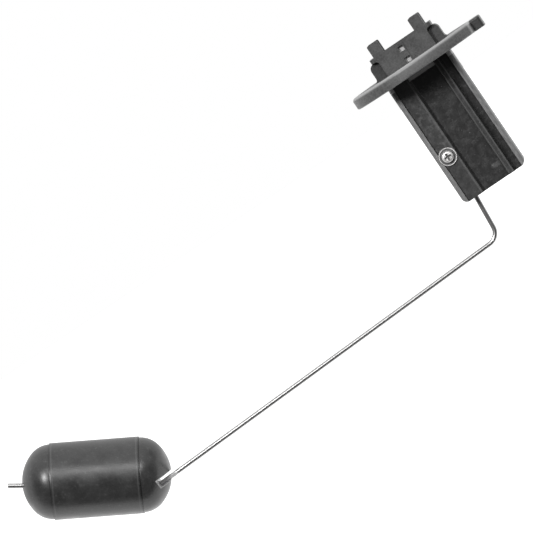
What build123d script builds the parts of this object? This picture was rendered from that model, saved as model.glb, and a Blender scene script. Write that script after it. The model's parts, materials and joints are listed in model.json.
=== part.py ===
from build123d import *

import math
import os

# Fuel level sender, in millimetres, in its own frame: +Z up along the body, X across the body's
# broad side, Y through its depth with the covered front towards -Y. The origin is the centre of
# the flange's underside, which sits on the tank. The float arm swings about an axis along Y.

# Flange
flange_radius = 29.2
flange_thickness = 4.8
flange_edge = 1.4
flange_foot = 0.4
lug_reach = 31.8
lug_half_width = 9.0
lug_corner = 1.2
lug_edge = 0.7
seal_clearance = 0.1
seal_width = 4.7
seal_depth = 1.6
gate_x = -3.6
gate_width = 1.6
gate_height = 0.8
gate_proud = 0.2

# Body below the flange, an open-bottomed channel
body_width = 29.6
body_depth = 18.0
body_length = 54.8
side_wall = 2.0
back_wall = 2.0
body_corner = 1.6
foot_corner = 2.6
rail_width = 0.9
rail_thickness = 1.2

# Front cover, in bands across the body from left to right
cover_wall = 1.6
cover_gap = 0.15
cover_edge = 0.3
plateau_width = 9.1
rib_width = 2.75
rib_from_side = 5.45
plateau_inset = 0.9
recess_inset = 3.0
rib_inset = 1.3
groove_inset = 3.3
ledge_height = 1.9
ledge_inset = 2.0

# Cover screw, its washer and its boss
screw_from_side = 5.0
screw_drop = 35.2
screw_radius = 1.4
screw_length = 6.0
screw_point = 0.5
screw_head_radius = 2.4
screw_head_height = 1.7
screw_crown = 0.9
cross_width = 0.8
cross_span = 3.0
cross_depth = 0.9
washer_radius = 3.7
washer_thickness = 0.5
washer_rim_width = 0.45
washer_rim_rise = 0.35
boss_width = 5.2
boss_height = 7.0
boss_depth = 4.6

# Neck above the flange, the plug socket
neck_half_width = 14.35
neck_height = 9.0
neck_corner = 1.5
socket_half_width = 10.4
socket_wall = 1.6
socket_floor = 4.0
pocket_from_side = 2.75
pocket_depth = 2.8
pocket_height = 7.3
pocket_round = 1.3
fin_reach = 16.2
fin_height = 7.2
fin_round = 2.4
fin_flare = 1.6
fin_edge = 0.6
prong_height = 5.3
prong_width = 4.9
prong_depth = 3.0
prong_x = 9.8
prong_edge = 0.6
window_from_pivot = 2.0
window_width = 2.4
window_drop = 1.7
window_height = 2.3

# Terminals and resistor card
blade_width = 2.4
blade_thickness = 0.8
blade_below_mouth = 0.9
signal_from_pivot = 8.2
slot_gap = 0.1
card_left_reach = 9.3
card_right_reach = 10.4
card_top_drop = 9.0
card_bottom_drop = 28.2
card_thickness = 0.8
card_corner = 0.8
track_height = 0.1
pad_width = 3.6
pad_height = 4.0
tail_lap = 3.2
terminal_bend = 0.72
solder_radius = 1.5
solder_height = 0.5

# Pivot and swinging arm
pivot_from_wire = 6.8
pivot_drop = 33.0
pin_radius = 1.5
pin_head_radius = 2.6
pin_head_height = 0.9
running_gap = 0.05
pivot_boss_radius = 3.2
pivot_boss_length = 2.0
spacer_radius = 2.9
spacer_thickness = 0.5
spacer_gap = 0.03
hub_radius = 3.7
carrier_thickness = 5.0
clip_radius = 2.7
clip_thickness = 0.6
clip_groove = 0.4
clip_eye_radius = 0.5
clip_eye_x = 1.95
clip_eye_drop = 0.5
pin_end = 0.7

# Wiper
outer_track_radius = 14.0
inner_track_radius = 11.0
track_width = 1.4
track_spread = 30.0
track_bars = 17
track_bar_width = 0.5
wiper_angle = 24.0
wiper_width = 4.2
wiper_thickness = 0.25
wiper_slot = 0.9
wiper_tip = 1.2
dimple_radius = 0.6
touch_gap = 0.04
wiper_root = 4.6
wiper_bend = 8.0
rivet_radius = 0.8
rivet_head_radius = 1.3
rivet_head_height = 0.4
rivet_reach = 6.0

# Wire arm, bent in one plane
wire_diameter = 2.0
wire_plane = 2.0
wire_from_side = 5.0
wire_lean = 4.55
wire_top_drop = 27.5
elbow_drop = 73.6
elbow_bend = 5.2
reach_to_float = 168.3
reach_fall = 2.08
float_bend = 3.6
tail_stub = 5.6
tail_rise = 33.4
grip_top_drop = 29.0
grip_bottom_drop = 46.0
grip_wall = 1.5
snap_lip = 0.15

# Float, pushed on the wire's tail
float_radius = 15.1
float_band_step = 0.4
float_band_length = 36.0
float_dome = 12.1
float_shoulder = 10.2
float_tilt = 3.8
float_offset = 2.7
float_along = 25.3
float_bore_gap = 0.05
entry_below = 1.1
entry_above = 2.2
entry_past_bend = -0.4

# Levels and places that follow
flange_top = flange_thickness
neck_top = flange_top + neck_height
half_width = body_width / 2
half_depth = body_depth / 2
neck_half_depth = half_depth
socket_half_depth = half_depth - socket_wall
fin_half_depth = half_depth - pocket_depth
inner_half_width = half_width - side_wall
seal_inner_radius = math.hypot(half_width, half_depth) + seal_clearance
seal_outer_radius = seal_inner_radius + seal_width
back_inner = half_depth - back_wall
cover_back = -half_depth + recess_inset + cover_wall
card_front = back_inner - card_thickness
screw_x = -half_width + screw_from_side
plateau_right = -half_width + plateau_width
rib_right = half_width - rib_from_side
rib_left = rib_right - rib_width
wire_radius = wire_diameter / 2
wire_exit_x = -half_width + wire_from_side
tail_length = float_along + float_band_length / 2 + float_dome + tail_stub
pivot_x = wire_exit_x + pivot_from_wire
window_x = pivot_x + window_from_pivot
signal_x = pivot_x + signal_from_pivot
card_left = pivot_x - card_left_reach
card_right = pivot_x + card_right_reach
carrier_back = back_inner - pivot_boss_length - spacer_thickness - 2 * spacer_gap
carrier_front = carrier_back - carrier_thickness


def block(x0, x1, y0, y1, z0, z1):
    """A box between two corners."""
    size = (x1 - x0, y1 - y0, z1 - z0)
    return Pos((x0 + x1) / 2, (y0 + y1) / 2, (z0 + z1) / 2) * Box(*size)


def post(x, y, z0, z1, radius):
    """A round post along Z."""
    return Pos(x, y, (z0 + z1) / 2) * Cylinder(radius, z1 - z0)


def along_y(x, z, y0, y1, radius):
    """A round post along Y."""
    return Pos(x, (y0 + y1) / 2, z) * Rot(90, 0, 0) * Cylinder(radius, y1 - y0)


def front_profile(sketch, y0, y1):
    """Extrudes a sketch drawn in X and Z from y0 to y1."""
    plane = Plane(origin=(0, y0, 0), x_dir=(1, 0, 0), z_dir=(0, -1, 0))
    return extrude(plane * sketch, amount=-(y1 - y0))


def about_pivot(radius, degrees):
    """The point at a radius from the pivot and an angle from straight up, clockwise from the front."""
    angle = math.radians(degrees)
    return pivot_x + radius * math.sin(angle), -pivot_drop + radius * math.cos(angle)


# Moulded body: flange, channel, socket neck
def flange():
    disc = Pos(0, 0, flange_thickness / 2) * Cylinder(flange_radius, flange_thickness)
    disc = fillet(disc.edges().group_by(Axis.Z)[-1], flange_edge)
    disc = chamfer(disc.edges().group_by(Axis.Z)[0], flange_foot)
    lug_start = flange_radius / 2
    lug = block(lug_start, lug_reach, -lug_half_width, lug_half_width, 0, flange_thickness)
    lug = fillet(lug.edges().filter_by(Axis.Z).group_by(Axis.X)[-1], lug_corner)
    rim = lug.faces().sort_by(Axis.Z)[-1].edges().sort_by(Axis.X)[1:]
    lug = fillet(rim, lug_edge)
    seal_groove = post(0, 0, -seal_depth, seal_depth, seal_outer_radius)
    seal_groove -= post(0, 0, -seal_depth, seal_depth, seal_inner_radius)
    gate = block(
        gate_x - gate_width / 2,
        gate_x + gate_width / 2,
        -flange_radius - gate_proud,
        -flange_radius + gate_width,
        flange_foot,
        flange_foot + gate_height,
    )
    return disc + lug + gate - seal_groove


def channel():
    shell = block(-half_width, half_width, -half_depth, half_depth, -body_length, 0)
    feet = shell.edges().filter_by(Axis.Y).group_by(Axis.Z)[0]
    foot_shape = fillet(feet, foot_corner)
    shell = fillet(shell.edges().filter_by(Axis.Z), body_corner) & foot_shape
    shell -= block(
        -inner_half_width, inner_half_width, -body_depth, back_inner, -2 * body_length, 0
    )
    rail_y = cover_back + cover_gap
    rail_span = side_wall / 2 + rail_width
    for side in (-1, 1):
        middle = side * (inner_half_width + side_wall / 2 - rail_span / 2)
        shell += block(
            middle - rail_span / 2,
            middle + rail_span / 2,
            rail_y,
            rail_y + rail_thickness,
            -body_length + foot_corner,
            0,
        )
    ledge = block(
        plateau_right, rib_left, -half_depth + ledge_inset, cover_back, -ledge_height, 0
    )
    boss_right = -inner_half_width + boss_width
    boss_front = -half_depth + plateau_inset + cover_wall + cover_gap
    boss = block(
        -inner_half_width - side_wall / 2,
        boss_right,
        boss_front,
        boss_front + boss_depth,
        -screw_drop - boss_height / 2,
        -screw_drop + boss_height / 2,
    )
    boss = fillet(boss.edges().filter_by(Axis.Y).group_by(Axis.X)[-1], boss_width / 4)
    return shell + ledge + boss


def neck_fin(side):
    foot = neck_half_width - pocket_from_side
    with BuildSketch() as fin:
        with BuildLine():
            start = (foot, 0)
            base = (fin_reach + fin_flare, 0)
            waist = (fin_reach, fin_flare)
            shoulder = (fin_reach, fin_height - fin_round)
            crown = (fin_reach - fin_round, fin_height)
            Line(start, base)
            RadiusArc(base, waist, fin_flare)
            Line(waist, shoulder)
            RadiusArc(shoulder, crown, -fin_round)
            Polyline(crown, (foot, fin_height), start)
        make_face()
    solid = front_profile(fin.sketch, -fin_half_depth, fin_half_depth)
    for face in solid.faces().filter_by(Axis.Y):
        rim = [edge for edge in face.edges() if edge.center().X > foot and edge.center().Z > 0]
        rim = [edge for edge in rim if edge.center().X > fin_reach - fin_round]
        solid = chamfer(rim, fin_edge)
    if side < 0:
        solid = mirror(solid, about=Plane.YZ)
    return Pos(0, 0, flange_top) * solid


def neck_pockets():
    """Round-cornered pockets beside the fins, open to the neck's sides."""
    inner = neck_half_width - pocket_from_side
    pocket = block(
        inner, 2 * inner, -neck_half_depth, neck_half_depth, flange_top, flange_top + pocket_height
    )
    corner = pocket.edges().filter_by(Axis.Y).sort_by_distance((inner, 0, neck_top))[0]
    pocket = fillet(corner, pocket_round)
    pocket -= block(inner, 2 * inner, -fin_half_depth, fin_half_depth, flange_top, neck_top)
    return pocket + mirror(pocket, about=Plane.YZ)


def neck():
    wall = block(
        -neck_half_width,
        neck_half_width,
        -neck_half_depth,
        neck_half_depth,
        flange_top / 2,
        neck_top,
    )
    wall = fillet(wall.edges().filter_by(Axis.Z), neck_corner)
    wall -= neck_pockets()
    for side in (-1, 1):
        wall += neck_fin(side)
        for face in (-1, 1):
            middle = face * (neck_half_depth - prong_depth / 2)
            prong = block(
                side * prong_x - prong_width / 2,
                side * prong_x + prong_width / 2,
                middle - prong_depth / 2,
                middle + prong_depth / 2,
                neck_top - prong_edge,
                neck_top + prong_height,
            )
            tips = prong.edges().filter_by(Axis.Y).group_by(Axis.Z)[-1]
            wall += fillet(tips, prong_edge)
    return wall


def socket_cuts():
    hollow = block(
        -socket_half_width,
        socket_half_width,
        -socket_half_depth,
        socket_half_depth,
        socket_floor,
        neck_top + prong_height,
    )
    windows = [neck_top - window_drop - window_height, flange_top]
    for low in windows:
        hollow += block(
            window_x - window_width / 2,
            window_x + window_width / 2,
            -neck_half_depth - prong_edge,
            -socket_half_depth,
            low,
            low + window_height,
        )
    for x in (window_x, signal_x):
        hollow += block(
            x - blade_width / 2 - slot_gap,
            x + blade_width / 2 + slot_gap,
            card_front - slot_gap - blade_thickness - slot_gap,
            card_front,
            -slot_gap,
            socket_floor,
        )
    return hollow


def sender_body():
    body = flange() + channel() + neck()
    pivot_boss = along_y(
        pivot_x, -pivot_drop, back_inner - pivot_boss_length, back_inner, pivot_boss_radius
    )
    body += pivot_boss
    body -= socket_cuts()
    pin_hole = along_y(pivot_x, -pivot_drop, 0, body_depth, pin_radius)
    head_seat = half_depth - pin_head_height
    head_room = pin_head_radius + running_gap
    head_hole = along_y(pivot_x, -pivot_drop, head_seat, body_depth, head_room)
    boss_front = -half_depth + plateau_inset + cover_wall
    pilot_end = boss_front + screw_length - cover_wall
    pilot = along_y(screw_x, -screw_drop, boss_front, pilot_end, screw_radius)
    relief = along_y(
        screw_x, -screw_drop, -body_depth, -half_depth + plateau_inset, washer_radius + cover_gap
    )
    return body - pin_hole - head_hole - pilot - relief


# Cover with its screw and washer
def front_cover():
    left = -inner_half_width + cover_gap
    right = inner_half_width - cover_gap
    front = -half_depth
    outline = [
        (left, front + plateau_inset),
        (plateau_right, front + plateau_inset),
        (plateau_right, front + recess_inset),
        (rib_left, front + recess_inset),
        (rib_left, front + rib_inset),
        (rib_right, front + rib_inset),
        (rib_right, front + groove_inset),
        (right, front + groove_inset),
        (right, cover_back),
        (plateau_right - cover_wall, cover_back),
        (plateau_right - cover_wall, front + plateau_inset + cover_wall),
        (left + rail_width, front + plateau_inset + cover_wall),
        (left + rail_width, cover_back),
        (left, cover_back),
    ]
    section = make_face(Polyline(*outline, close=True))
    panel = Pos(0, 0, -body_length) * extrude(section, amount=body_length - cover_gap)
    ridges = [(plateau_right, plateau_inset), (rib_left, rib_inset), (rib_right, rib_inset)]
    edges = panel.edges().filter_by(Axis.Z)
    for x, inset in ridges:
        near = Vector(x, front + inset, -body_length / 2)
        ridge = edges.sort_by_distance(near)[0]
        panel = fillet(ridge, cover_edge)
        edges = panel.edges().filter_by(Axis.Z)
    ledge_room = block(
        plateau_right - cover_gap,
        rib_left + cover_gap,
        -body_depth,
        body_depth,
        -ledge_height - cover_gap,
        flange_top,
    )
    boss_room = block(
        -half_width,
        -inner_half_width + boss_width + cover_gap,
        front + plateau_inset + cover_wall,
        body_depth,
        -screw_drop - boss_height / 2 - cover_gap,
        -screw_drop + boss_height / 2 + cover_gap,
    )
    hole = along_y(screw_x, -screw_drop, -body_depth, body_depth, screw_radius + running_gap)
    return panel - ledge_room - boss_room - hole


def cover_screw():
    seat = -half_depth + plateau_inset - washer_thickness
    crown_start = seat - screw_head_height
    head = along_y(screw_x, -screw_drop, crown_start, seat, screw_head_radius)
    rim = head.edges().group_by(Axis.Y)[0]
    head = fillet(rim, screw_crown)
    shank_end = -half_depth + plateau_inset + screw_length
    shank = along_y(screw_x, -screw_drop, seat, shank_end, screw_radius)
    tip = shank.edges().group_by(Axis.Y)[-1]
    shank = chamfer(tip, screw_point)
    for width, height in ((cross_span, cross_width), (cross_width, cross_span)):
        head -= block(
            screw_x - width / 2,
            screw_x + width / 2,
            crown_start - cross_depth,
            crown_start + cross_depth,
            -screw_drop - height / 2,
            -screw_drop + height / 2,
        )
    return head + shank


def screw_washer():
    face = -half_depth + plateau_inset
    seat = face - washer_thickness
    ring = along_y(screw_x, -screw_drop, seat - washer_rim_rise, face, washer_radius)
    ring = chamfer(ring.edges().group_by(Axis.Y)[0], washer_rim_width / 3)
    ring -= along_y(screw_x, -screw_drop, -body_depth, seat, washer_radius - washer_rim_width)
    return ring - along_y(screw_x, -screw_drop, -body_depth, body_depth, screw_radius + running_gap)


# Resistor card and terminals
def track(radius):
    """A flat arc band on the card, drawn about the pivot."""
    with BuildSketch() as band:
        with Locations((pivot_x, -pivot_drop)):
            Circle(radius + track_width / 2)
            Circle(radius - track_width / 2, mode=Mode.SUBTRACT)
        top = [about_pivot(2 * radius, angle) for angle in (-track_spread, 0, track_spread)]
        with BuildLine():
            Polyline((pivot_x, -pivot_drop), *top, (pivot_x, -pivot_drop))
        make_face(mode=Mode.INTERSECT)
    return front_profile(band.sketch, card_front - track_height, card_front)


def resistor_card():
    card = block(card_left, card_right, card_front, back_inner, -card_bottom_drop, -card_top_drop)
    card = fillet(card.edges().filter_by(Axis.Y), card_corner)
    card += track(inner_track_radius)
    card += track(outer_track_radius)
    bar_reach = outer_track_radius + 2 * track_width
    for index in range(track_bars):
        turn = -track_spread + 2 * track_spread * (index + 0.5) / track_bars
        bar_x, bar_z = about_pivot((outer_track_radius + bar_reach) / 2, turn)
        bar = Box(track_bar_width, track_height, bar_reach - outer_track_radius)
        card += Pos(bar_x, card_front - track_height / 2, bar_z) * Rot(0, turn, 0) * bar
    for x in (window_x, signal_x):
        card += block(
            x - pad_width / 2,
            x + pad_width / 2,
            card_front - track_height,
            card_front,
            -card_top_drop - pad_height,
            -card_top_drop - card_thickness,
        )
    return card


def terminal_blade(x, y, low, high):
    blade = block(x - blade_width / 2, x + blade_width / 2, y, y + blade_thickness, low, high)
    top = blade.edges().filter_by(Axis.Y).group_by(Axis.Z)[-1]
    return chamfer(top, blade_thickness / 2)


def tail_front():
    return card_front - track_height - running_gap - blade_thickness


def signal_terminal():
    low = -card_top_drop - tail_lap
    return terminal_blade(signal_x, tail_front(), low, neck_top - blade_below_mouth)


def ground_terminal():
    front = -socket_half_depth + slot_gap
    floor = socket_floor + slot_gap
    upright = terminal_blade(window_x, front, floor, neck_top - blade_below_mouth)
    bridge = block(
        window_x - blade_width / 2,
        window_x + blade_width / 2,
        front,
        tail_front() + blade_thickness,
        floor,
        floor + blade_thickness,
    )
    tail = block(
        window_x - blade_width / 2,
        window_x + blade_width / 2,
        tail_front(),
        tail_front() + blade_thickness,
        -card_top_drop - tail_lap,
        floor + blade_thickness,
    )
    strip = upright + bridge + tail
    heel = Vector(window_x, front, floor)
    corner = strip.edges().filter_by(Axis.X).sort_by_distance(heel)[0]
    return fillet(corner, terminal_bend)


def solder_joints():
    joints = []
    for x in (window_x, signal_x):
        centre_z = -card_top_drop - tail_lap + solder_radius / 2
        blob = along_y(x, centre_z, tail_front() - solder_height, tail_front(), solder_radius)
        joints.append(chamfer(blob.edges().group_by(Axis.Y)[0], solder_height * 2 / 3))
    return Compound(children=joints)


# Pivot
def pivot_pin():
    front = carrier_front - spacer_gap - clip_thickness - pin_end
    pin = along_y(pivot_x, -pivot_drop, front, half_depth, pin_radius - running_gap)
    pin = chamfer(pin.edges().group_by(Axis.Y)[0], pin_end / 2)
    head = along_y(pivot_x, -pivot_drop, half_depth - pin_head_height, half_depth, pin_head_radius)
    head = chamfer(head.edges().group_by(Axis.Y)[-1], pin_head_height / 3)
    groove_back = carrier_front - spacer_gap
    groove_front = groove_back - clip_thickness - spacer_gap
    ring = along_y(pivot_x, -pivot_drop, groove_front, groove_back, pin_radius)
    ring -= along_y(pivot_x, -pivot_drop, groove_front, groove_back, pin_radius - clip_groove)
    return pin + head - ring


def pivot_spacer():
    back = back_inner - pivot_boss_length - spacer_gap
    ring = along_y(pivot_x, -pivot_drop, back - spacer_thickness, back, spacer_radius)
    return ring - along_y(pivot_x, -pivot_drop, 0, back, pin_radius)


def pivot_clip():
    back = carrier_front - spacer_gap
    front = back - clip_thickness
    ring = along_y(pivot_x, -pivot_drop, front, back, clip_radius)
    waist = pin_radius - clip_groove + running_gap / 2
    ring -= along_y(pivot_x, -pivot_drop, front, back, waist)
    mouth = block(
        pivot_x - waist, pivot_x + waist, front, back, -pivot_drop - clip_radius, -pivot_drop
    )
    for side in (-1, 1):
        eye_x = pivot_x + side * clip_eye_x
        eye_z = -pivot_drop - clip_eye_drop
        ring -= along_y(eye_x, eye_z, front, back, clip_eye_radius)
    return ring - mouth


# Wire arm
def wire_points():
    top = wire_at(wire_top_drop)
    elbow = wire_at(elbow_drop)
    fall = math.radians(reach_fall)
    bend = (elbow[0] - reach_to_float * math.cos(fall), elbow[1] - reach_to_float * math.sin(fall))
    rise = math.radians(tail_rise)
    end = (bend[0] - tail_length * math.cos(rise), bend[1] + tail_length * math.sin(rise))
    return [top, elbow, bend, end]


def wire_solid(radius):
    points = [(x, wire_plane, z) for x, z in wire_points()]
    path = FilletPolyline(*points, radius=[elbow_bend, float_bend])
    start = Plane(origin=path @ 0, z_dir=path % 0)
    return sweep(start * Circle(radius), path=path)


def float_arm():
    return wire_solid(wire_radius)


def wire_at(drop):
    """The wire's upper run at a level, as X and Z."""
    lean = math.tan(math.radians(wire_lean))
    return wire_exit_x + lean * (body_length - drop), -drop


def wire_run(radius, start_drop, end_drop):
    """A straight round rod on the wire's upper run between two levels."""
    ends = [(x, wire_plane, z) for x, z in (wire_at(start_drop), wire_at(end_drop))]
    run = Line(*ends)
    return sweep(Plane(origin=run @ 0, z_dir=run % 0) * Circle(radius), path=run)


# Wiper carrier and contact
def wiper_carrier():
    high = wire_at(grip_top_drop)
    low = wire_at(grip_bottom_drop)
    half_grip = wire_radius + grip_wall
    hub = Pos(pivot_x, -pivot_drop) * Circle(hub_radius)
    finger = Pos(*about_pivot(wiper_bend, wiper_angle)) * Circle(wiper_width / 2)
    grip_top = Pos(*high) * Circle(half_grip)
    grip_bottom = Pos(*low) * Circle(half_grip)
    lever = make_hull(hub.edges() + grip_top.edges())
    lever += make_hull(hub.edges() + grip_bottom.edges())
    lever += make_hull(grip_top.edges() + grip_bottom.edges())
    arm = make_hull(hub.edges() + finger.edges())
    solid = front_profile(lever, carrier_front, carrier_back)
    solid += front_profile(arm, carrier_back - wiper_width / 2, carrier_back)
    solid -= wire_run(wire_radius + running_gap, 0, elbow_drop - elbow_bend)
    half_mouth = wire_radius - snap_lip
    slot = block(-half_mouth, half_mouth, -body_depth, wire_plane, -body_length, body_length)
    solid -= Pos(high[0], 0, high[1]) * Rot(0, wire_lean, 0) * slot
    solid -= along_y(pivot_x, -pivot_drop, -body_depth, body_depth, pin_radius)
    return solid - along_y(*about_pivot(rivet_reach, wiper_angle), 0, carrier_back, rivet_radius)


def wiper_contact():
    """The spring strip, drawn upright above the pivot and turned to the wiper's angle."""
    back = carrier_back
    touch = card_front - track_height - touch_gap
    tip_y = touch - dimple_radius / 2
    reach = outer_track_radius + wiper_tip
    near = inner_track_radius - wiper_tip
    tip_front = tip_y - wiper_thickness
    front_line = [(back, wiper_root), (back, wiper_bend), (tip_front, near), (tip_front, reach)]
    back_line = [(y + wiper_thickness, z) for y, z in reversed(front_line)]
    points = front_line + back_line
    side = make_face(Plane.YZ * Polyline(*points, close=True))
    strip = Pos(-wiper_width / 2, 0, 0) * extrude(side, amount=wiper_width, dir=(1, 0, 0))
    half_slot = wiper_slot / 2
    strip -= block(-half_slot, half_slot, -body_depth, body_depth, wiper_bend, 2 * reach)
    finger_x = (wiper_width + wiper_slot) / 4
    for side_x, radius in ((-finger_x, inner_track_radius), (finger_x, outer_track_radius)):
        dimple = Pos(side_x, touch - dimple_radius, radius) * Sphere(dimple_radius)
        strip += dimple & block(-wiper_width, wiper_width, tip_front, touch, 0, 2 * reach)
    strip -= along_y(0, rivet_reach, -body_depth, body_depth, rivet_radius)
    return Pos(pivot_x, 0, -pivot_drop) * Rot(0, wiper_angle, 0) * strip


def wiper_rivet():
    place = about_pivot(rivet_reach, wiper_angle)
    front = carrier_back - wiper_width / 2
    back = carrier_back + wiper_thickness
    shank = along_y(*place, front, back, rivet_radius - running_gap)
    front_head = along_y(*place, front - rivet_head_height, front, rivet_head_radius)
    back_head = along_y(*place, back, back + rivet_head_height, rivet_head_radius)
    return shank + front_head + back_head


# Float
def float_half(half_band, band_radius):
    """Half of the float's body on +X: half of its band, a rounded shoulder and a flatter crown."""
    rise = float_radius - float_shoulder
    bulge = float_dome - float_shoulder
    crown = (rise**2 + bulge**2) / (2 * bulge) + float_shoulder
    turn = math.degrees(math.atan2(rise, crown - float_dome))
    with BuildSketch(Plane.XZ) as outline:
        with BuildLine():
            shoulder = CenterArc((half_band, rise), float_shoulder, turn, 90 - turn)
            join = shoulder @ 0
            band = [(half_band, band_radius), (0, band_radius), (0, 0), (join.X, 0)]
            Polyline(shoulder @ 1, *band, join)
        make_face()
    cap = Pos(half_band + float_dome - crown, 0, 0) * Rot(0, 0, 180) * Sphere(crown)
    cap &= block(join.X, 2 * crown, -crown, crown, -crown, crown)
    return revolve(outline.sketch, axis=Axis.X) + cap


def tank_float():
    half_band = float_band_length / 2
    band_radius = float_radius + float_band_step
    solid = float_half(half_band, band_radius)
    solid += mirror(solid, about=Plane.YZ)
    _, _, bend, _ = wire_points()
    rise = math.radians(tail_rise)
    x = bend[0] - float_along * math.cos(rise) + float_offset * math.sin(rise)
    z = bend[1] + float_along * math.sin(rise) + float_offset * math.cos(rise)
    solid = Pos(x, wire_plane, z) * Rot(0, tail_rise - float_tilt, 0) * solid
    entry = block(
        -entry_past_bend, float_radius, -float_radius, float_radius, -entry_below, entry_above
    )
    inner_end = entry.edges().filter_by(Axis.Y).group_by(Axis.X)[0]
    entry = fillet(inner_end, entry_below)
    solid -= Pos(bend[0], wire_plane, bend[1]) * Rot(0, -reach_fall, 0) * entry
    return solid - wire_solid(wire_radius + float_bore_gap)


nodes = {
    "sender_body": sender_body,
    "front_cover": front_cover,
    "cover_screw": cover_screw,
    "screw_washer": screw_washer,
    "resistor_card": resistor_card,
    "signal_terminal": signal_terminal,
    "ground_terminal": ground_terminal,
    "solder_joints": solder_joints,
    "pivot_pin": pivot_pin,
    "pivot_spacer": pivot_spacer,
    "pivot_clip": pivot_clip,
    "wiper_carrier": wiper_carrier,
    "wiper_contact": wiper_contact,
    "wiper_rivet": wiper_rivet,
    "float_arm": float_arm,
    "tank_float": tank_float,
}

os.makedirs("parts", exist_ok=True)
for name, make in nodes.items():
    export_step(make(), f"parts/{name}.step")
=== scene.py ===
import json
import math

import bpy
from mathutils import Matrix, Vector


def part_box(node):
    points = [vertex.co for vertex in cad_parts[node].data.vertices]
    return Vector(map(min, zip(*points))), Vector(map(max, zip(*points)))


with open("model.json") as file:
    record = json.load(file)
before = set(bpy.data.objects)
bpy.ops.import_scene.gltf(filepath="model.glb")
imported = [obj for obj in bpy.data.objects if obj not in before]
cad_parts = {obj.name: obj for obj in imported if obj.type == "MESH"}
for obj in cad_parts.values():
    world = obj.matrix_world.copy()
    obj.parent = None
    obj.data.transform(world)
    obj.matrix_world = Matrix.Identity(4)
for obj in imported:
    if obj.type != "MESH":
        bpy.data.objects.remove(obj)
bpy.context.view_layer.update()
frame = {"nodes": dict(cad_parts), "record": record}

# Fuel level sender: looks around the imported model, in metres. The covered front faces -Y.
MM = 0.001
nodes = frame["nodes"]

# Camera: far off, a little above the flange and to the right of the body
PHOTO_PIXELS = 533
PIXEL = 0.4 * MM
SENSOR_WIDTH = 36.0
VIEW_CENTRE = Vector((-94.87, 0.0, -31.2)) * MM
VIEW_DISTANCE = 4.0
VIEW_REACH = 100.0
VIEW_AZIMUTH = 3.6
VIEW_ELEVATION = 1.51
VIEW_ROLL = -34.15

# Lamps: a key from the left and a weak soft lamp above the camera
KEY_DIRECTION = Vector((-0.32, -0.83, 0.46))
KEY_DISTANCE = 1.6
KEY_SIZE = 0.3
KEY_POWER = 21.5
SOFT_DIRECTION = Vector((0.24, -0.87, 0.42))
SOFT_DISTANCE = 1.6
SOFT_SIZE = 0.45
SOFT_POWER = 6.5

# Studio: dim in front, paler overhead and white behind, over a pale floor that starts at the part
FRONT_LEVEL = 0.1
TOP_LEVEL = 1.15
TOP_DIRECTION = (0.4, 0.0, 0.917)
TOP_FADE = (0.15, 0.75)
BACK_FADE = (-0.5, 0.3)
FLOOR_HEIGHT = -0.26
FLOOR_SIZE = 12.0
FLOOR_FRONT = -0.05
FLOOR_TONE = 0.5
FLOOR_ROUGHNESS = 0.9

# Places on the body, in millimetres
FLANGE_TOP = 4.8
FLANGE_EDGE = 3.5
RIM_START = 24.0
RIM_MIDDLE = 2.0
RIM_REACH = 30.0
LUG_START = 27.2
LUG_LINE = 26.4
LIP_FRONT = -7.6
POCKET_FLOOR = -6.5
POCKETS_SPAN = (-4.0, 4.0)
LEDGE_BOTTOM = -2.4
MOULD_LINE = 0.75

# Places on the cover, its screw and washer, and how far the card's tracks stand up
PLATEAU_EDGE = -6.2
RIB_EDGES = (6.9, 8.7)
CREASES = (-5.3, 6.1)
GROOVE_START = 9.2
# painted shadow: where it fades out down the channel under the flange
PAINTED_SHADOW_FADE = (-16.0, -12.0)
WORN_PLACE = (-10.0, -8.1, -24.0)
SMUDGE_PLACE = (4.2, -6.0, -48.6)
SCREW_PLACE = (-9.8, 0.0, -35.2)
RECESS_REACH = 1.5
RECESS_DEPTH = 0.35
WASHER_RIM = 3.25
TRACK_HEIGHT = 0.05

# Places on the float, and the slot in it that the wire enters by
FLOAT_CENTRE = (-199.12, 2.0, -63.53)
FLOAT_AXIS = (0.8695, 0.0, -0.4939)
FLOAT_SEAM = 18.0
FLOAT_LIP = 17.1
SLOT_WALLS = (-80.8, -77.2)
SLOT_END = -179.1
SLOT_MOUTH = -172.5

# Scales that leave out the distance along the flange's axis and along the screw's
ROUND_Z = (1.0, 1.0, 0.0)
ROUND_Y = (1.0, 0.0, 1.0)

# The part of a noise's range that most of its patches fall in
NOISE_MIDDLE = (0.3, 0.7)


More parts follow.
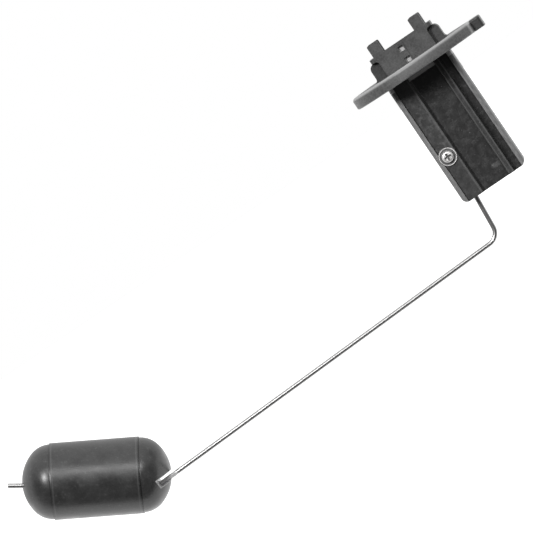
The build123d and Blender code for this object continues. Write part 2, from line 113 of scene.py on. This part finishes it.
class Signal:
    """A socket of a material, so that shader maths reads as Python."""

    def __init__(self, tree, socket):
        self.tree = tree
        self.socket = socket

    def node(self, kind, settings, inputs, output=0):
        """Adds a node: its settings first, then the values or links of its sockets."""
        made = self.tree.nodes.new(kind)
        for name, value in settings.items():
            setattr(made, name, value)
        for name, value in inputs.items():
            if isinstance(value, Signal):
                self.tree.links.new(value.socket, made.inputs[name])
            else:
                made.inputs[name].default_value = value
        return Signal(self.tree, made.outputs[output])

    def maths(self, operation, first, second):
        return self.node("ShaderNodeMath", {"operation": operation}, {0: first, 1: second})

    def ramp(self, low, high, start=0.0, end=1.0):
        """Runs smoothly from start to end while the value goes from low to high."""
        settings = {"interpolation_type": "SMOOTHSTEP"}
        inputs = {"Value": self, "From Min": low, "From Max": high, "To Min": start, "To Max": end}
        return self.node("ShaderNodeMapRange", settings, inputs)

    def past(self, place, soft):
        """0 up to a place, rising smoothly to 1 a soft step past it."""
        return self.ramp(place, place + soft)

    def up_to(self, place, soft):
        """1 up to a place, falling smoothly to 0 a soft step past it."""
        return self.ramp(place, place + soft, 1.0, 0.0)

    def between(self, low, high, soft):
        """1 between two places, falling smoothly to 0 a soft step outside them."""
        return self.past(low - soft, soft) * self.up_to(high, soft)

    def near(self, place, reach):
        """1 at a place, falling smoothly to 0 at the reach on both sides of it."""
        return (self - place).unsigned().up_to(0.0, reach)

    def unsigned(self):
        """The value without its sign."""
        return self.maths("ABSOLUTE", self, 0.0)

    def larger(self, other):
        return self.maths("MAXIMUM", self, other)

    def __add__(self, other):
        return self.maths("ADD", self, other)

    def __radd__(self, other):
        return self.maths("ADD", other, self)

    def __sub__(self, other):
        return self.maths("SUBTRACT", self, other)

    def __rsub__(self, other):
        return self.maths("SUBTRACT", other, self)

    def __mul__(self, other):
        return self.maths("MULTIPLY", self, other)

    def __rmul__(self, other):
        return self.maths("MULTIPLY", other, self)


class Finish:
    """A material with a Principled shader, built up from Object coordinates in millimetres."""

    def __init__(self, name, **constants):
        self.material = bpy.data.materials.new(name)
        self.material.use_nodes = True
        self.tree = self.material.node_tree
        self.shader = self.tree.nodes["Principled BSDF"]
        for socket, value in constants.items():
            self.shader.inputs[socket.replace("_", " ")].default_value = value
        place = Signal(self.tree, None).node("ShaderNodeTexCoord", {}, {}, "Object")
        self.mm = place.node("ShaderNodeVectorMath", {"operation": "SCALE"}, {0: place, "Scale": 1 / MM})
        self.x, self.y, self.z = (self.along(axis) for axis in ((1, 0, 0), (0, 1, 0), (0, 0, 1)))

    def vector(self, operation, first, second, output=0):
        """Adds a Vector Math node."""
        settings = {"operation": operation}
        return self.mm.node("ShaderNodeVectorMath", settings, {0: first, 1: second}, output)

    def along(self, axis, centre=(0.0, 0.0, 0.0)):
        """How far a point lies along an axis from a centre."""
        offset = self.vector("SUBTRACT", self.mm, centre)
        return self.vector("DOT_PRODUCT", offset, axis, "Value")

    def away(self, centre, scale=(1.0, 1.0, 1.0)):
        """The distance from a centre, with each axis scaled."""
        offset = self.vector("SUBTRACT", self.mm, centre)
        scaled = self.vector("MULTIPLY", offset, scale)
        return scaled.node("ShaderNodeVectorMath", {"operation": "LENGTH"}, {0: scaled}, "Value")

    def noise(self, size, detail=4.0, roughness=0.6, stretch=(1.0, 1.0, 1.0)):
        """Noise from 0 to 1 whose patches are about size millimetres across, times the stretch."""
        scale = tuple(1 / (size * length) for length in stretch)
        at = self.vector("MULTIPLY", self.mm, scale)
        inputs = {"Vector": at, "Scale": 1.0, "Detail": detail, "Roughness": roughness}
        return at.node("ShaderNodeTexNoise", {}, inputs)

    def mix(self, factor, first, second):
        """A colour between two, by a factor."""
        return self.mm.node("ShaderNodeMix", {"data_type": "RGBA"}, {0: factor, 6: first, 7: second}, 2)

    def bump(self, height, depth):
        """A relief of that depth in millimetres."""
        inputs = {"Height": height, "Distance": depth * MM, "Strength": 1.0}
        return height.node("ShaderNodeBump", {}, inputs)

    def set(self, **links):
        """Links signals to the shader's sockets, and gives the finished material."""
        for socket, value in links.items():
            self.tree.links.new(value.socket, self.shader.inputs[socket.replace("_", " ")])
        return self.material


def grey(level, warmth=0.0):
    return (level * (1 + warmth), level, level * (1 - warmth), 1.0)


def flange_rim(finish, grain):
    """The rim's colour: greyer in the middle and paler towards the top as a painted highlight, with a
    bright painted highlight before the lug.
    """
    middle_highlight = finish.x.near(RIM_MIDDLE, RIM_REACH) * finish.z.ramp(0.0, FLANGE_TOP, 0.35, 1.0)
    lug_highlight = finish.x.near(LUG_LINE, reach=0.9)
    colour = finish.mix(grain.ramp(*NOISE_MIDDLE), grey(0.032), grey(0.085))
    # painted highlight: the rim is painted greyer in its middle and paler towards its top
    colour = finish.mix(middle_highlight * 0.55, colour, grey(0.17))
    # painted highlight: a bright strip on the rim just before the lug
    return finish.mix(lug_highlight * 0.8, colour, grey(0.36))


def moulded_body():
    """Black glass-filled moulding: a greyer, coarser flange rim with painted highlights along its top and
    middle, channel edges made paler by wear and by painted highlight, painted shade in the neck's pockets
    and on the lug, and a pale painted light just under the flange.
    """
    finish = Finish("black moulding", IOR=1.5)
    mottle = finish.noise(size=5.0)
    grain = finish.noise(size=0.8, roughness=0.65)
    fibre = finish.noise(size=0.8, stretch=(0.5, 0.5, 3.0))
    speck = finish.noise(size=0.9, detail=2.0, roughness=0.7).ramp(0.66, 0.78)
    lug = finish.x.past(LUG_START, soft=0.2)
    outer = finish.away((0, 0, 0), ROUND_Z).past(RIM_START, soft=3.0)
    rim = outer * finish.z.past(-1.0, soft=1.0) * (1 - lug)
    edge = rim * finish.z.past(FLANGE_EDGE, soft=1.0)
    below = finish.z.up_to(-0.5, soft=0.5)
    lip = below * finish.y.up_to(LIP_FRONT, soft=3.0)
    ledge_light = below * finish.z.past(LEDGE_BOTTOM, soft=0.4)
    behind = finish.y.past(POCKET_FLOOR - 1.5, soft=1.0)
    pocket_shade = (1 - below) * behind * finish.x.ramp(*POCKETS_SPAN, 0.9, 0.5)
    joint = finish.x.near(MOULD_LINE, reach=0.35) * finish.z.past(FLANGE_TOP, soft=0.2)
    shade = mottle.ramp(*NOISE_MIDDLE) * 0.45 + grain.ramp(*NOISE_MIDDLE) * 0.55
    worn_and_highlit = finish.mix(fibre.ramp(*NOISE_MIDDLE), grey(0.1), grey(0.19))
    colour = finish.mix(shade, grey(0.024), grey(0.064))
    colour = finish.mix(joint * 0.7, colour, grey(0.01))
    # painted shade: the neck's pockets are painted darker, most on the left
    colour = finish.mix(pocket_shade, colour, grey(0.014))
    # the channel's front edges are painted paler: partly wear, partly painted highlight
    colour = finish.mix(lip, colour, worn_and_highlit)
    # painted light: the strip just under the flange, which lies in the flange's shade, is painted pale
    colour = finish.mix(ledge_light * 0.9, colour, grey(0.5))
    # painted shade: the lug is painted darker
    colour = finish.mix(lug * 0.9, colour, grey(0.018))
    colour = finish.mix(rim, colour, flange_rim(finish, grain))
    # painted highlight along the top of the flange rim
    colour = finish.mix(edge * 0.7, colour, grey(0.32))
    colour = finish.mix(speck * 0.3, colour, grey(0.14))
    rough = 0.36 + 0.14 * mottle + 0.08 * lip
    relief = finish.bump(grain + 0.6 * speck, depth=0.06)
    return finish.set(Base_Color=colour, Roughness=rough, Normal=relief)


def moulded_cover():
    """Satin black cover: ridges made paler by wear and by painted highlight, painted shade in the groove
    and the creases, a painted shadow at the top of the channel under the flange, scuffs on the plateau
    and small pale nicks.
    """
    finish = Finish("black cover moulding", IOR=1.5)
    mottle = finish.noise(size=3.0, detail=5.0, roughness=0.65)
    grain = finish.noise(size=0.5, detail=3.0)
    scuff = finish.noise(size=1.7, detail=5.0, roughness=0.7).ramp(0.46, 0.68)
    nick = finish.noise(size=0.8, detail=2.0, roughness=0.5).ramp(0.72, 0.78)
    worn = finish.away(WORN_PLACE, scale=(1.0, 1.0, 0.35)).up_to(2.5, soft=3.5)
    smudge = finish.away(SMUDGE_PLACE, scale=(0.5, 1.0, 1.0)).up_to(0.4, soft=1.0)
    plateau = finish.x.up_to(PLATEAU_EDGE - 0.2, soft=0.8)
    rib = finish.x.between(*RIB_EDGES, soft=0.4)
    groove = finish.x.past(GROOVE_START - 0.4, soft=0.4) * finish.x.up_to(GROOVE_START, soft=3.2)
    ridges = finish.x.near(PLATEAU_EDGE - 0.1, reach=0.7)
    for edge in RIB_EDGES:
        ridges = ridges.larger(finish.x.near(edge, reach=0.5))
    left, right = (finish.x.near(crease, reach=0.8) for crease in CREASES)
    creases = left.larger(right * 0.5)
    painted_shadow = finish.z.ramp(*PAINTED_SHADOW_FADE) * finish.x.past(PLATEAU_EDGE + 0.4, soft=0.8)
    shade = mottle.ramp(*NOISE_MIDDLE)
    colour = finish.mix(shade, grey(0.013), grey(0.025))
    raised = finish.mix(shade, grey(0.024), grey(0.044))
    colour = finish.mix(plateau.larger(rib) * 0.7, colour, raised)
    # painted shadow: the channel's top under the flange is painted blacker
    colour = finish.mix(painted_shadow * 0.8, colour, grey(0.003))
    # painted shade in the groove and along the creases, the left crease most
    colour = finish.mix(groove.larger(creases) * 0.8, colour, grey(0.006))
    colour = finish.mix(scuff * 0.3, colour, grey(0.05))
    colour = finish.mix(scuff * worn * 0.8, colour, grey(0.075))
    colour = finish.mix(smudge * scuff.larger(0.3), colour, grey(0.16))
    # the ridges are painted paler: partly wear, partly painted highlight
    colour = finish.mix(ridges * 0.7, colour, grey(0.09))
    colour = finish.mix(nick * 0.6, colour, grey(0.18))
    rough = 0.24 + 0.16 * mottle + 0.05 * scuff + 0.03 * plateau
    shoulder = finish.x.up_to(CREASES[0] - 0.6, soft=1.3)
    trough = finish.x.up_to(GROOVE_START - 0.2, soft=2.6)
    height = grain * 0.016 + scuff * 0.02 + shoulder * 0.4 + trough * 0.4 + ridges * 0.07
    return finish.set(Base_Color=colour, Roughness=rough, Normal=finish.bump(height, depth=1.0))


def zinc_plate():
    """Bright zinc plating with fine turning marks and dull spots, and painted shade in the screw's
    recess.
    """
    finish = Finish("bright zinc plate", Metallic=0.7)
    cloud = finish.noise(size=0.9)
    fine = finish.noise(size=0.3, detail=3.0)
    head_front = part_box("cover_screw")[0].y / MM
    deep = finish.y.past(head_front + RECESS_DEPTH, soft=0.25)
    recess = finish.away(SCREW_PLACE, ROUND_Y).up_to(RECESS_REACH, soft=0.3) * deep
    colour = finish.mix(cloud.ramp(0.35, 0.65), grey(0.55, 0.02), grey(0.9, 0.01))
    # painted shade: the screw's cross recess is painted dark
    colour = finish.mix(recess * 0.85, colour, grey(0.1))
    rough = 0.24 + 0.22 * cloud
    return finish.set(Base_Color=colour, Roughness=rough, Normal=finish.bump(fine, depth=0.03))


def dulled_washer():
    """The same plating gone dull in the dish, still bright on the raised rim."""
    finish = Finish("dulled zinc washer")
    cloud = finish.noise(size=0.8)
    rim = finish.away(SCREW_PLACE, ROUND_Y).past(WASHER_RIM, soft=0.1)
    dish = finish.mix(cloud, grey(0.08), grey(0.22))
    colour = finish.mix(rim, dish, grey(0.8, 0.01))
    rough = 0.34 + 0.2 * cloud - 0.12 * rim
    metal = 1 - 0.4 * rim
    relief = finish.bump(cloud, depth=0.03)
    return finish.set(Base_Color=colour, Roughness=rough, Metallic=metal, Normal=relief)


def drawn_wire():
    """Stainless wire with long draw marks, painted pale, rougher and less metallic where the float's slot
    holds it: painted light in the float's shade.
    """
    finish = Finish("drawn stainless wire")
    marks = finish.noise(size=0.3, detail=3.0, stretch=(30.0, 1.0, 1.0))
    cloud = finish.noise(size=7.0, detail=3.0)
    dull = finish.x.past(SLOT_END - 3.0, soft=3.0) * finish.x.up_to(SLOT_MOUTH, soft=2.5)
    colour = finish.mix(cloud, grey(0.28), grey(0.41, 0.01))
    # painted light: the wire is painted pale where it lies in the float's slot
    colour = finish.mix(dull, colour, grey(0.85))
    rough = 0.26 + 0.1 * marks + 0.2 * dull
    metal = 1 - 0.8 * dull
    relief = finish.bump(marks, depth=0.003)
    return finish.set(Base_Color=colour, Roughness=rough, Metallic=metal, Normal=relief)


def float_skin():
    """Satin moulded rubber skin: mottled and chalky, dark at the seams, and painted light on the slot's
    walls.
    """
    finish = Finish("nitrile float skin", IOR=1.5)
    from_middle = finish.along(FLOAT_AXIS, FLOAT_CENTRE).unsigned()
    mottle = finish.noise(size=6.0)
    cells = finish.noise(size=0.6, roughness=0.65)
    chalk = finish.noise(size=1.5, detail=5.0, roughness=0.75).ramp(0.54, 0.74)
    seams = from_middle.near(FLOAT_SEAM, reach=0.5)
    lips = from_middle.near(FLOAT_LIP, reach=0.5)
    blotch = mottle.ramp(*NOISE_MIDDLE)
    shade = blotch * 0.5 + cells.ramp(*NOISE_MIDDLE) * 0.5
    painted_slot_light = finish.z.between(*SLOT_WALLS, soft=0.2) * finish.x.past(SLOT_END - 0.4, soft=0.4)
    colour = finish.mix(shade, grey(0.017), grey(0.037))
    # painted light: the slot's walls are painted pale
    colour = finish.mix(painted_slot_light, colour, grey(0.45))
    colour = finish.mix(chalk * 0.25, colour, grey(0.14))
    colour = finish.mix(lips * 0.2, colour, grey(0.16))
    colour = finish.mix(seams * 0.75, colour, grey(0.012))
    rough = 0.28 + 0.1 * blotch
    relief = finish.bump(cells * 0.5 + mottle - 2.0 * seams, depth=0.032)
    return finish.set(Base_Color=colour, Roughness=rough, Normal=relief)


def plain_metal(name, low, high, roughness, size, metallic=1.0):
    """A small metal piece's finish: two tones in soft clouds and a fine grain."""
    finish = Finish(name, Metallic=metallic)
    cloud = finish.noise(size)
    fine = finish.noise(size / 4, detail=3.0)
    colour = finish.mix(cloud, low, high)
    rough = roughness + 0.2 * fine
    return finish.set(Base_Color=colour, Roughness=rough, Normal=finish.bump(fine, depth=0.01))


def ceramic():
    """White fired card: the raised tracks and pads are darker than the card's face."""
    finish = Finish("fired card and tracks", IOR=1.5)
    track_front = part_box("resistor_card")[0].y / MM
    raised = finish.y.up_to(track_front + TRACK_HEIGHT, soft=0.01)
    grain = finish.noise(size=0.4, detail=3.0)
    ink = finish.mix(grain, grey(0.06), grey(0.12))
    colour = finish.mix(grain, grey(0.66, 0.03), grey(0.78, 0.03))
    colour = finish.mix(raised, colour, ink)
    rough = 0.4 + 0.2 * grain
    return finish.set(Base_Color=colour, Roughness=rough, Normal=finish.bump(grain, depth=0.01))


def acetal():
    """Natural acetal: milky, with a faint flow pattern."""
    finish = Finish("natural acetal", IOR=1.48)
    flow = finish.noise(size=4.0)
    grain = finish.noise(size=0.3, detail=2.0)
    colour = finish.mix(flow, (0.66, 0.64, 0.58, 1.0), (0.76, 0.75, 0.7, 1.0))
    rough = 0.3 + 0.15 * grain
    return finish.set(Base_Color=colour, Roughness=rough, Normal=finish.bump(grain, depth=0.01))


def dress(finishes):
    """Gives each CAD node the finish of its material slot, or one of its own."""
    for part in frame["record"]["subparts"]:
        name = part["node"]
        finish = finishes.get(name, finishes[part["material_slot"]])
        nodes[name].data.materials.clear()
        nodes[name].data.materials.append(finish)


def camera():
    data = bpy.data.cameras.new("camera")
    seen = bpy.data.objects.new("camera", data)
    bpy.context.scene.collection.objects.link(seen)
    turn = Matrix.Rotation(math.radians(VIEW_AZIMUTH), 4, "Z")
    lift = Matrix.Rotation(math.radians(90 - VIEW_ELEVATION), 4, "X")
    roll = Matrix.Rotation(math.radians(VIEW_ROLL), 4, "Z")
    back_off = Matrix.Translation((0, 0, VIEW_DISTANCE))
    seen.matrix_world = Matrix.Translation(VIEW_CENTRE) @ turn @ lift @ roll @ back_off
    data.sensor_width = SENSOR_WIDTH
    data.lens = SENSOR_WIDTH * VIEW_DISTANCE / (PHOTO_PIXELS * PIXEL)
    data.clip_end = VIEW_REACH
    bpy.context.scene.camera = seen


def lamp(name, direction, distance, size, power):
    """A square soft lamp that looks at the middle of the part."""
    data = bpy.data.lights.new(name, "AREA")
    data.size = size
    data.energy = power
    light = bpy.data.objects.new(name, data)
    bpy.context.scene.collection.objects.link(light)
    away = direction.normalized()
    light.location = VIEW_CENTRE + away * distance
    light.rotation_euler = away.to_track_quat("Z", "Y").to_euler()


def background_rays(tree):
    """1 for the camera's rays, and 1 for the rays that metal and glass show a background by."""
    camera_ray = Signal(tree, None).node("ShaderNodeLightPath", {}, {}, "Is Camera Ray")
    outputs = camera_ray.socket.node.outputs
    glossy = Signal(tree, outputs["Is Glossy Ray"])
    passing = Signal(tree, outputs["Is Transmission Ray"])
    return camera_ray, glossy.larger(passing)


def studio():
    """White to the camera. Around the part it is dim in front, paler overhead and white behind."""
    world = bpy.data.worlds.new("white studio")
    bpy.context.scene.world = world
    world.use_nodes = True
    tree = world.node_tree
    camera_ray, mirrored = background_rays(tree)
    direction = Signal(tree, None).node("ShaderNodeTexCoord", {}, {}, "Generated")
    back = direction.node("ShaderNodeSeparateXYZ", {}, {0: direction}, "Y").ramp(*BACK_FADE)
    sides = {0: direction, 1: TOP_DIRECTION}
    top = direction.node("ShaderNodeVectorMath", {"operation": "DOT_PRODUCT"}, sides, "Value")
    shown = camera_ray.larger(mirrored * back)
    light = back.larger(top.ramp(*TOP_FADE, FRONT_LEVEL, TOP_LEVEL))
    background = tree.nodes["Background"]
    background.inputs["Color"].default_value = grey(1.0)
    tree.links.new(shown.larger(light).socket, background.inputs["Strength"])


def floor():
    """A pale floor that starts at the part and takes its shadow, white to the camera and in metal."""
    middle = (0, FLOOR_SIZE / 2 + FLOOR_FRONT, FLOOR_HEIGHT)
    bpy.ops.mesh.primitive_plane_add(size=FLOOR_SIZE, location=middle)
    ground = bpy.context.object
    ground.name = "floor"
    material = bpy.data.materials.new("white floor")
    material.use_nodes = True
    tree = material.node_tree
    shader = tree.nodes["Principled BSDF"]
    shader.inputs["Base Color"].default_value = grey(FLOOR_TONE)
    shader.inputs["Roughness"].default_value = FLOOR_ROUGHNESS
    camera_ray, mirrored = background_rays(tree)
    inputs = {"Color": grey(1.0), "Strength": camera_ray.larger(mirrored)}
    glow = mirrored.node("ShaderNodeEmission", {}, inputs)
    both = glow.node("ShaderNodeAddShader", {}, {0: Signal(tree, shader.outputs[0]), 1: glow})
    tree.links.new(both.socket, tree.nodes["Material Output"].inputs["Surface"])
    ground.data.materials.append(material)


bpy.ops.object.select_all(action="DESELECT")
camera()
studio()
floor()
lamp("key", KEY_DIRECTION, KEY_DISTANCE, KEY_SIZE, KEY_POWER)
lamp("soft", SOFT_DIRECTION, SOFT_DISTANCE, SOFT_SIZE, SOFT_POWER)
tin = plain_metal("dull tin plate", grey(0.38), grey(0.44, 0.01), roughness=0.4, size=1.5, metallic=0.1)
solder = plain_metal("dull solder", grey(0.42), grey(0.58), roughness=0.35, size=0.8)
spring = plain_metal("phosphated spring steel", grey(0.12), grey(0.22), roughness=0.4, size=1.5)
bronze_tones = (0.5, 0.28, 0.13, 1.0), (0.66, 0.4, 0.2, 1.0)
bronze = plain_metal("phosphor bronze", *bronze_tones, roughness=0.25, size=2.0)
dress({
    "moulding": moulded_body(),
    "cover_moulding": moulded_cover(),
    "plated_steel": zinc_plate(),
    "screw_washer": dulled_washer(),
    "ceramic": ceramic(),
    "tinned_brass": tin,
    "solder": solder,
    "white_plastic": acetal(),
    "spring_steel": spring,
    "spring_bronze": bronze,
    "arm_wire": drawn_wire(),
    "float_foam": float_skin(),
})
bpy.context.scene.view_settings.view_transform = "Standard"
